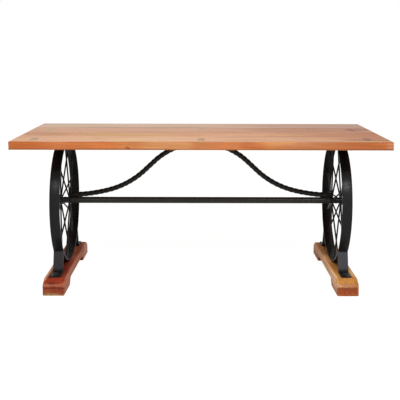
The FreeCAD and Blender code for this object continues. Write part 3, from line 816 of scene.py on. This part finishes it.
class DINING_TABLE_OT_spokes(bpy.types.Operator):
    """Draw the spoke rods and weld them to the hub and the rim"""
    bl_idname = "dining_table.spokes"
    bl_label = "Spokes"

    def execute(self, context):
        paint = painted_iron("rod_iron", ROD_PAINT_WITH_PAINTED_SHADE, shine=0.03, sheen=(1, 0.9, 0.78))
        for name in SIDES:
            hub = middle(name + "_wheel_hub")
            welds = Welds()
            rods = sorted(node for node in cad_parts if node.startswith(name + "_wheel_spoke_"))
            for number, node in enumerate(rods):
                inner, outer = spoke_ends(node, hub)
                axis = (outer - inner).normalized()
                form = Form()
                form.turn([(0, ROD_RADIUS), ((outer - inner).length, ROD_RADIUS)], inner, axis, ROD_SIDES)
                piece = form.make("%s_rod_%02d" % (name, number + 1), "black_iron", paint)
                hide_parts(node)
                sunk = axis * welds.bead * 0.5
                welds.ring(inner + sunk, axis, ROD_RADIUS, number)
                welds.ring(outer - sunk, axis, ROD_RADIUS, number + 50)
            welds.finish(name + "_spoke_welds")
        return {"FINISHED"}


# Stretcher and hub bolts
TUBE_WALL = 2.5 * MM
TUBE_CHAMFER = 0.6 * MM
WASHER_THICK = 2.5 * MM
WASHER_RADIUS = 13 * MM
WASHER_CHAMFER = 0.6 * MM
WASHER_EDGE = 0.4 * MM
# Each section's height over the washer, its reach, and how blunt its corners are in degrees
BOLT_HEAD = ((0, 10.9 * MM, 4), (6.2 * MM, 10.9 * MM, 4), (7.5 * MM, 9.374 * MM, 12))


class DINING_TABLE_OT_stretcher(bpy.types.Operator):
    """Make the stretcher tube, its ends chamfered"""
    bl_idname = "dining_table.stretcher"
    bl_label = "Stretcher"

    def execute(self, context):
        size = half_size("stretcher")
        profile = mirrored([
            (-size.x, size.z - TUBE_WALL),
            (-size.x, size.z - TUBE_CHAMFER),
            (-size.x + TUBE_CHAMFER, size.z),
        ])
        form = Form()
        form.turn(profile, middle("stretcher"), X_AXIS, TUBE_SIDES, closed=True)
        piece = form.make("stretcher_tube", "black_iron", painted_iron("stretcher_iron", STRETCHER_PAINT_WITH_PAINTED_LIGHT))
        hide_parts("stretcher")
        for name in SIDES:
            paint_node(name + "_end_plug", blackened_steel())
        return {"FINISHED"}


def hexagon(reach, blunt):
    """The outline of a hexagon whose corners are cut off, some degrees to each side."""
    turns = [math.radians(60 * corner + step * blunt) for corner in range(6) for step in (-1, 1)]
    return outline_at(turns, [reach] * len(turns))


class DINING_TABLE_OT_hub_bolts(bpy.types.Operator):
    """Make the hexagon bolts and washers on the outer ends of the hubs"""
    bl_idname = "dining_table.hub_bolts"
    bl_label = "Hub bolts"

    def execute(self, context):
        chamfer = WASHER_RADIUS - WASHER_CHAMFER
        profile = [(0, chamfer), (WASHER_EDGE, WASHER_RADIUS),
                   (WASHER_THICK - WASHER_EDGE, WASHER_RADIUS), (WASHER_THICK, chamfer)]
        bolts = Form()
        washers = Form()
        for name, side in SIDES.items():
            hub = name + "_wheel_hub"
            axis = X_AXIS * side
            face = middle(hub) + axis * half_size(hub).x
            washers.turn(profile, face, axis)
            first, second = square_to(axis)
            rings = []
            for height, reach, blunt in BOLT_HEAD:
                seat = face + axis * (WASHER_THICK + height)
                outline = hexagon(reach, blunt)
                rings.append([seat + first * across + second * up for across, up in outline])
            bolts.loft(rings)
        piece = bolts.make("hub_bolt_heads", "fixing_steel", blackened_steel(), 25)
        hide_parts("hub_bolts")
        piece = washers.make("washers", "fixing_steel", blackened_steel(), 25)
        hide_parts("hub_washers")
        return {"FINISHED"}


# Twisted brace
CROWN_RADIUS = 354 * MM
CROWN_ANGLE = math.radians(43)
CROWN_GAP = 0.35 * MM
KNEE_RADIUS = 436 * MM
KNEE_ANGLE = math.radians(14.8)
BRACE_BAR = 24 * MM
BRACE_ROUND = 8 * MM
BRACE_REACH = 14.05 * MM
PLAIN_END = 40 * MM
QUARTER_STEPS = 8
END_WELD_INSET = 1 * MM
END_WELD_REACH = 0.46 * BRACE_BAR
END_WELD_SINK = 2.6 * MM
END_WELD_TILT = 0.4 * MM
CROWN_WELD = Vector((14 * MM, 0, 0))


def brace_runs(drop, run):
    """Half the brace as (length, angle at the start, angle at the end) of each arc or straight."""
    crown_sin, crown_cos = math.sin(CROWN_ANGLE), math.cos(CROWN_ANGLE)
    knee_sin, knee_cos = math.sin(KNEE_ANGLE), math.cos(KNEE_ANGLE)
    rest_run = run - CROWN_RADIUS * crown_sin - KNEE_RADIUS * (crown_sin - knee_sin)
    rest_drop = drop - CROWN_RADIUS * (1 - crown_cos) - KNEE_RADIUS * (knee_cos - crown_cos)
    scale = crown_cos * (1 - knee_cos) - crown_sin * knee_sin
    flank = (rest_run * (1 - knee_cos) - rest_drop * knee_sin) / scale
    end_radius = (crown_cos * rest_drop - crown_sin * rest_run) / scale
    return [
        (CROWN_RADIUS * CROWN_ANGLE, 0, CROWN_ANGLE),
        (flank, CROWN_ANGLE, CROWN_ANGLE),
        (KNEE_RADIUS * (CROWN_ANGLE - KNEE_ANGLE), CROWN_ANGLE, KNEE_ANGLE),
        (end_radius * KNEE_ANGLE, KNEE_ANGLE, 0),
    ]


def brace_point(crown, runs, distance):
    """Centre-line point and downward angle at a distance from the crown, on the +X half."""
    across, up, angle, left = 0, crown, 0, distance
    for length, start, end in runs:
        part = min(left, length)
        angle = start + (end - start) * part / length
        if start == end:
            across += part * math.cos(start)
            up -= part * math.sin(start)
        else:
            radius = length / (end - start)
            across += radius * (math.sin(angle) - math.sin(start))
            up -= radius * (math.cos(start) - math.cos(angle))
        left -= part
        if left <= 0:
            break
    return across, up, angle


class DINING_TABLE_OT_brace(bpy.types.Operator):
    """Twist a square bar and bend it between the hubs, with its crown under the top"""
    bl_idname = "dining_table.brace"
    bl_label = "Twisted brace"

    def execute(self, context):
        foot = Vector((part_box("brace")[1].x, 0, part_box("stretcher")[1].z))
        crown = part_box("crown_plate")[0].z - CROWN_GAP - BRACE_REACH
        runs = brace_runs(crown - foot.z - BRACE_BAR / 2, foot.x)
        half = sum(run[0] for run in runs)
        twisted = half - PLAIN_END
        quarters = round(2 * twisted / context.scene.dining_table.iron.twist)
        steps = quarters * QUARTER_STEPS
        stations = [2 * twisted * step / steps - twisted for step in range(steps + 1)]
        level = Vector((0, 1, 0))
        places = []
        for number, distance in enumerate([-half, *stations, half]):
            twist = QUARTER * min(max(number - 1, 0), steps) / QUARTER_STEPS
            side = 1 if distance >= 0 else -1
            across, up, angle = brace_point(crown, runs, abs(distance))
            normal = Vector((side * math.sin(angle), 0, math.cos(angle)))
            first = normal * math.cos(twist) + level * math.sin(twist)
            second = level * math.cos(twist) - normal * math.sin(twist)
            places.append((Vector((side * across, 0, up)), first, second))
        form = Form()
        form.sweep(rounded_outline(BRACE_BAR, BRACE_BAR, BRACE_ROUND, 4), places)
        piece = form.make("twisted_brace", "black_iron", painted_iron("brace_iron", BRACE_PAINT), 50)
        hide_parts("brace")
        self.weld(foot, crown)
        return {"FINISHED"}

    def weld(self, foot, crown):
        """Weld the brace's ends to the stretcher, and its crown to the crown plate."""
        welds = Welds()
        tip = foot.x - END_WELD_INSET
        for edge in (-1, 1):
            for side in SIDES.values():
                end = Vector((side * tip, edge * END_WELD_REACH, foot.z - END_WELD_SINK))
                start = end - Vector((side * PLAIN_END, 0, -END_WELD_TILT))
                welds.line(start, end, side + edge * 0.3, 1.2)
            place = Vector((0, edge * BRACE_BAR / 2, crown + BRACE_BAR / 2 + welds.bead))
            welds.line(place - CROWN_WELD, place + CROWN_WELD, edge, 1.3)
        welds.finish("brace_welds")


# Straps and their bolts
STRAP_TIP = 8 * MM
STRAP_WELD_INSET = 2 * MM
STRAP_WELD_RISE = 0.5 * MM
STRAP_THICK = 6 * MM
COACH_HEAD = 10 * MM
COACH_SHANK = 5 * MM


class DINING_TABLE_OT_straps(bpy.types.Operator):
    """Finish the straps and weld them to the rims"""
    bl_idname = "dining_table.straps"
    bl_label = "Straps"

    def execute(self, context):
        # The strap toes get painted shade below the tops of the foot bolts
        painted_shade = toe_painted_shade(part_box("foot_bolts")[1].z)
        welds = Welds()
        for name in SIDES:
            # Each strap's paint carries painted light, stronger on the right
            paint = painted_iron(name + "_strap_iron", STRAP_PAINTS_WITH_PAINTED_LIGHT[name], painted_shade)
            for end_name, end in ENDS.items():
                node = "%s_%s_strap" % (name, end_name)
                paint_node(node, paint)
                low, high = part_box(node)
                tip = [abs(point.y) for point in points_of(node) if point.z > high.z - STRAP_TIP]
                centre = Vector(((low.x + high.x) / 2, max(tip) * end, high.z + STRAP_WELD_RISE))
                reach = X_AXIS * ((high.x - low.x) / 2 - STRAP_WELD_INSET)
                welds.line(centre - reach, centre + reach, end, 1.1)
        welds.finish("strap_welds")
        return {"FINISHED"}


def dome(radius, height, steps=6):
    """The profile of a low round head, from its seat to its crown."""
    profile = [(0, radius)]
    for step in range(1, steps + 1):
        angle = QUARTER * step / steps
        profile.append((height * math.sin(angle), max(radius * math.cos(angle), radius * 0.04)))
    return profile


class DINING_TABLE_OT_foot_bolts(bpy.types.Operator):
    """Set a round-headed coach bolt in each strap"""
    bl_idname = "dining_table.foot_bolts"
    bl_label = "Foot bolts"

    def execute(self, context):
        form = Form()
        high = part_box("foot_bolts")[1]
        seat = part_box("left_foot")[1].z + STRAP_THICK
        profile = [(-COACH_SHANK, COACH_SHANK), (0, COACH_SHANK)] + dome(COACH_HEAD, high.z - seat)
        for side in SIDES.values():
            for end in ENDS.values():
                centre = Vector((side * (high.x - COACH_HEAD), end * (high.y - COACH_HEAD), seat))
                form.turn(profile, centre, UP, 40)
        piece = form.make("coach_bolts", "black_iron", black_iron(), 40)
        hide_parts("foot_bolts")
        return {"FINISHED"}


# Plates under the top
PLATE_WELD = Vector((0, 35 * MM, 0))
PLATE_WELD_SINK = 1 * MM
SCREW_APART = 12 * MM
SCREW_HEAD = 5.5 * MM
SCREW_HEAD_HEIGHT = 3.5 * MM
SCREW_ROUND = 2.5 * MM
SCREW_SHANK = 2.5 * MM
SCREW_POINT = 4 * MM
SCREW_TIP = 0.3 * MM
SLOT_REACH = 2.5 * MM
SLOT_HALF_WIDTH = 0.65 * MM
SLOT_DEPTH = 1.7 * MM
SLOT_FLOOR = 0.6


class DINING_TABLE_OT_plates(bpy.types.Operator):
    """Finish the plates under the top and weld them to the rims"""
    bl_idname = "dining_table.plates"
    bl_label = "Top plates"

    def execute(self, context):
        welds = Welds()
        for name in SIDES:
            paint_node(name + "_top_plate", black_iron())
            low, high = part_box(name + "_wheel_rim")
            for across in (low.x, high.x):
                centre = Vector((across, 0, high.z - PLATE_WELD_SINK))
                welds.line(centre - PLATE_WELD, centre + PLATE_WELD, across, 1.3)
        paint_node("crown_plate", black_iron())
        welds.finish("plate_welds")
        return {"FINISHED"}


def screw_centres(node):
    """The places of the screws in plan, read from their CAD solids."""
    groups = []
    for point in points_of(node):
        near = [group for group in groups if (point - group[0]).xy.length < SCREW_APART]
        if near:
            near[0].append(point)
        else:
            groups.append([point])
    centres = []
    for group in groups:
        across = [point.x for point in group]
        along = [point.y for point in group]
        centres.append(((min(across) + max(across)) / 2, (min(along) + max(along)) / 2))
    return centres


def slot_turns():
    """The directions of a screw's points, closer together along its slots."""
    corner = math.atan2(SLOT_HALF_WIDTH, SLOT_REACH)
    turns = []
    for quarter in range(4):
        for part in (-1, -0.5, 0, 0.5, 1):
            turns.append(QUARTER * quarter + part * corner)
        for share in (0.2, 0.5, 0.8):
            turns.append(QUARTER * quarter + corner + share * (QUARTER - 2 * corner))
    return turns


def cross_slot(turn):
    """How far a cross-shaped slot reaches from its middle in a direction."""
    off = abs(math.remainder(turn, QUARTER))
    if off * SLOT_REACH < SLOT_HALF_WIDTH * 0.01:
        return SLOT_REACH
    return min(SLOT_REACH / math.cos(off), SLOT_HALF_WIDTH / math.sin(off))


def screw_profile(length):
    """A screw's radius at each height, from its head's face to its point."""
    profile = []
    for degrees in (90, 70, 50, 30, 10, 0):
        turn = math.radians(degrees)
        radius = SCREW_HEAD - SCREW_ROUND * (1 - math.cos(turn))
        profile.append((radius, SCREW_ROUND * (1 - math.sin(turn))))
    profile += [(SCREW_HEAD, SCREW_HEAD_HEIGHT), (SCREW_SHANK, SCREW_HEAD_HEIGHT)]
    return profile + [(SCREW_SHANK, length - SCREW_POINT), (SCREW_TIP, length)]


class DINING_TABLE_OT_screws(bpy.types.Operator):
    """Drive cross-slotted wood screws through the plates"""
    bl_idname = "dining_table.screws"
    bl_label = "Wood screws"

    def execute(self, context):
        low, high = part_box("top_screws")
        turns = slot_turns()
        slot = [cross_slot(turn) for turn in turns]
        sections = [([reach * SLOT_FLOOR for reach in slot], SLOT_DEPTH), (slot, 0)]
        for radius, height in screw_profile(high.z - low.z):
            sections.append(([radius] * len(turns), height))
        form = Form()
        for x, y in screw_centres("top_screws"):
            rings = []
            for reaches, height in sections:
                outline = outline_at(turns, reaches)
                rings.append([(x + across, y + along, low.z + height) for across, along in outline])
            form.loft(rings)
        piece = form.make("wood_screws", "fixing_steel", blackened_steel(), 30)
        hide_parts("top_screws")
        return {"FINISHED"}


# Feet
FOOT_SIDE = half_size("left_foot").x
NOSE = -half_size("left_foot").y
FOOT_TOP = half_size("left_foot").z
LEFT_FOOT_PATCHES = (
    ((0, FOOT_SIDE, 0), (0.9, 0.007, 0.09), colour(172, 106, 78), 0.95),
    # The rear of the side face, partly its own tone and partly a painted highlight on its top arris
    ((0.36, FOOT_SIDE, 0), (0.16, 0.012, 0.09), colour(212, 148, 130), 0.85),
    ((0, -FOOT_SIDE, 0), (0.9, 0.007, 0.09), colour(178, 112, 66), 0.6),
    ((-0.24, 0.02, FOOT_TOP), (0.16, 0.026, 0.02), colour(100, 22, 5), 0.85),
    ((-0.368, 0, 0.03), (0.024, 0.12, 0.02), colour(150, 52, 26), 0.7),
    ((NOSE, 0, -0.012), (0.012, 0.12, 0.03), colour(133, 59, 37), 0.7),
    ((NOSE, 0, 0.0), (0.012, 0.12, 0.005), colour(100, 44, 30), 0.8),
    # A painted highlight on the rounded nose
    ((-0.396, 0, 0.0125), (0.014, 0.12, 0.009), colour(168, 96, 72), 0.8),
    ((NOSE, -0.01, -0.036), (0.1, 0.08, 0.014), colour(152, 120, 80), 0.9),
    # A painted highlight along the top arris
    ((-0.2, -FOOT_SIDE, FOOT_TOP), (0.5, 0.020, 0.014), colour(204, 158, 124), 0.85),
)
RIGHT_FOOT_PATCHES = (
    ((0, -FOOT_SIDE, 0), (0.9, 0.007, 0.09), colour(218, 170, 130), 0.95),
    ((-0.30, -FOOT_SIDE, 0.01), (0.14, 0.010, 0.07), colour(234, 190, 146), 0.85),
    ((0.36, -FOOT_SIDE, 0), (0.14, 0.010, 0.09), colour(236, 174, 132), 0.8),
    # A painted highlight along the top arris
    ((-0.25, 0.044, FOOT_TOP), (0.15, 0.018, 0.02), colour(200, 158, 104), 0.85),
    ((-0.22, -0.02, FOOT_TOP), (0.2, 0.03, 0.02), colour(176, 124, 52), 0.7),
    ((-0.16, 0.0, FOOT_TOP), (0.07, 0.026, 0.02), colour(150, 84, 44), 0.6),
    ((-0.37, 0, 0.03), (0.03, 0.12, 0.02), colour(180, 124, 60), 0.75),
    ((NOSE, 0, -0.012), (0.012, 0.12, 0.028), colour(139, 60, 30), 0.85),
    ((NOSE, 0, -0.001), (0.012, 0.12, 0.005), colour(112, 66, 38), 0.8),
    # These two patches are a painted highlight on the rounded nose
    ((-0.396, 0, 0.0125), (0.014, 0.12, 0.008), colour(172, 122, 90), 0.85),
    ((-0.396, -0.04, 0.0125), (0.014, 0.03, 0.008), colour(196, 146, 114), 0.6),
    ((NOSE, 0.052, -0.01), (0.012, 0.01, 0.05), colour(206, 132, 86), 0.8),
)


class DINING_TABLE_OT_feet(bpy.types.Operator):
    """Give the two wooden feet their grain"""
    bl_idname = "dining_table.feet"
    bl_label = "Wooden feet"

    def execute(self, context):
        settings = context.scene.dining_table.wood
        red = (colour(170, 92, 52), settings.mahogany, colour(108, 42, 26), colour(70, 32, 22))
        gold = (colour(206, 156, 96), settings.gold, colour(160, 96, 50), colour(96, 56, 34))
        heart = ((0, 0, -FOOT_TOP), (0.9, 0.2, 0.06), settings.heart, 0.7)
        left = wood("left_foot_wood", red, middle("left_foot"), (0.03, -0.35), 31.0, along_y=True,
                    patches=LEFT_FOOT_PATCHES, zoning=0.6, gloss=0.65, shine=0.1)
        right = wood("right_foot_wood", gold, middle("right_foot"), (-0.10, -0.30), 44.0, along_y=True,
                     patches=(*RIGHT_FOOT_PATCHES, heart), zoning=0.6, gloss=0.62, shine=0.1)
        paint_node("left_foot", left)
        paint_node("right_foot", right)
        return {"FINISHED"}


# Stage
FLOOR_REACH = 30.0
FLOOR_LIT = 0.82
FLOOR_SEEN = 0.24
FLOOR_GLOW = 0.92
WHITE = (1, 1, 1)
COOL_WHITE = (0.88, 0.94, 1)
TABLE_MIDDLE = (0, 0, 0.4)
# Each lamp's place, what it points at, its size, its share of the main lamp's power and its tint
LAMPS = {
    "key_lamp": ((-0.3, -2.88, 3.9), TABLE_MIDDLE, (1.4, 0.16), 1.0, WHITE),
    "left_strip_lamp": ((-1.16, -2.7, 2.42), (-0.714, -0.29, 0.53), (0.8, 0.2), 0.24, COOL_WHITE),
    "right_strip_lamp": ((1.16, -2.7, 2.42), (0.714, -0.29, 0.53), (0.8, 0.2), 0.52, COOL_WHITE),
    "fill_lamp": ((2.8, -3.0, 1.6), TABLE_MIDDLE, (1.6, 1.6), 0.12, WHITE),
}
CAMERA_PLACE = Vector((-10.2, -4030.3, 1204.4)) * MM
CAMERA_PITCH = 0.1592
CAMERA_YAW = -0.0014
CAMERA_ROLL = 0.0023
CAMERA_RISE = -0.0763
FOCAL_PIXELS = 778.7
PICTURE_PIXELS = 400


class Backdrop(Nodes):
    """The nodes of the floor or the world, which look brighter than they light the table."""

    def __init__(self, owner):
        super().__init__(owner)
        self.tree.nodes.clear()

    def finish(self, output, seen, lit):
        """Camera, glossy and transmission rays meet the seen shader, and the rest the lit one."""
        rays = ("Is Camera Ray", "Is Glossy Ray", "Is Transmission Ray")
        camera, glossy, transmission = self.node("ShaderNodeLightPath", output=rays)
        share = camera.larger(glossy).larger(transmission)
        surface = self.node("ShaderNodeMixShader", inputs=(share, lit, seen))
        self.node(output, inputs={"Surface": surface}, output=())


def soft_lamp(name, power, place, target, size, share, tint):
    light = bpy.data.lights.new(name, "AREA")
    light.shape = "RECTANGLE"
    light.size, light.size_y = size
    light.energy = power * share
    light.color = tint
    lamp = bpy.data.objects.new(name, light)
    lamp.location = place
    lamp.rotation_euler = (Vector(target) - Vector(place)).to_track_quat("-Z", "Y").to_euler()
    bpy.context.collection.objects.link(lamp)


class DINING_TABLE_OT_stage(bpy.types.Operator):
    """Set the pale floor, the soft light and the camera"""
    bl_idname = "dining_table.stage"
    bl_label = "Floor, light and camera"

    def execute(self, context):
        settings = context.scene.dining_table.stage
        self.make_floor(settings.backdrop)
        self.make_world(context, settings)
        for name, facts in LAMPS.items():
            soft_lamp(name, settings.lamp, *facts)
        self.make_camera(context)
        context.scene.view_settings.view_transform = "Standard"
        return {"FINISHED"}

    def make_floor(self, tint):
        mesh = bpy.data.meshes.new("floor")
        corners = [(FLOOR_REACH * x, FLOOR_REACH * y, 0) for x, y in ((-1, -1), (1, -1), (1, 1), (-1, 1))]
        mesh.from_pydata(corners, [], [(0, 1, 2, 3)])
        floor = bpy.data.objects.new("floor", mesh)
        bpy.context.collection.objects.link(floor)
        material = bpy.data.materials.new("pale_floor")
        nodes = Backdrop(material)
        paper = nodes.node("ShaderNodeBsdfDiffuse", inputs=(scaled(tint, FLOOR_LIT),))
        faint = nodes.node("ShaderNodeBsdfDiffuse", inputs=(scaled(tint, FLOOR_SEEN),))
        glow = nodes.node("ShaderNodeEmission", inputs=(tint, FLOOR_GLOW))
        seen = nodes.node("ShaderNodeAddShader", inputs=(faint, glow))
        nodes.finish("ShaderNodeOutputMaterial", seen, paper)
        mesh.materials.append(material)

    def make_world(self, context, settings):
        world = bpy.data.worlds.new("daylight")
        nodes = Backdrop(world)
        seen = nodes.node("ShaderNodeBackground", inputs=(settings.backdrop, 1.0))
        lit = nodes.node("ShaderNodeBackground", inputs=(settings.backdrop, settings.daylight))
        nodes.finish("ShaderNodeOutputWorld", seen, lit)
        context.scene.world = world

    def make_camera(self, context):
        data = bpy.data.cameras.new("camera")
        data.sensor_width = 36
        data.lens = FOCAL_PIXELS / PICTURE_PIXELS * data.sensor_width
        data.shift_y = CAMERA_RISE
        data.clip_start, data.clip_end = 0.05, 100
        camera = bpy.data.objects.new("camera", data)
        camera.location = CAMERA_PLACE
        turn = Matrix.Rotation(CAMERA_YAW, 3, "Z") @ Matrix.Rotation(QUARTER - CAMERA_PITCH, 3, "X")
        turn = turn @ Matrix.Rotation(CAMERA_ROLL, 3, "Z")
        camera.rotation_euler = turn.to_euler()
        context.collection.objects.link(camera)
        context.scene.camera = camera


OPERATORS = (
    DINING_TABLE_OT_plank_top,
    DINING_TABLE_OT_inlays,
    DINING_TABLE_OT_rims,
    DINING_TABLE_OT_hubs,
    DINING_TABLE_OT_spokes,
    DINING_TABLE_OT_stretcher,
    DINING_TABLE_OT_hub_bolts,
    DINING_TABLE_OT_brace,
    DINING_TABLE_OT_straps,
    DINING_TABLE_OT_foot_bolts,
    DINING_TABLE_OT_plates,
    DINING_TABLE_OT_screws,
    DINING_TABLE_OT_feet,
    DINING_TABLE_OT_stage,
)


class DINING_TABLE_PT_sidebar(bpy.types.Panel):
    """Lists the pieces of the table"""
    bl_idname = "DINING_TABLE_PT_sidebar"
    bl_label = "Dining table"
    bl_space_type = "VIEW_3D"
    bl_region_type = "UI"
    bl_category = "Table"

    def draw(self, context):
        for group in ("wood", "iron", "stage"):
            settings = getattr(context.scene.dining_table, group)
            box = self.layout.box()
            for key in settings.bl_rna.properties.keys():
                if key not in ("name", "rna_type"):
                    box.prop(settings, key)
        for operator in OPERATORS:
            self.layout.operator(operator.bl_idname)


CLASSES = (WoodSettings, IronSettings, StageSettings, TableSettings, *OPERATORS, DINING_TABLE_PT_sidebar)


def register():
    for made in CLASSES:
        bpy.utils.register_class(made)
    bpy.types.Scene.dining_table = bpy.props.PointerProperty(type=TableSettings)


def unregister():
    del bpy.types.Scene.dining_table
    for made in reversed(CLASSES):
        bpy.utils.unregister_class(made)


def main():
    register()
    for operator in OPERATORS:
        group, name = operator.bl_idname.split(".")
        getattr(getattr(bpy.ops, group), name)()


if __name__ == "__main__":
    main()
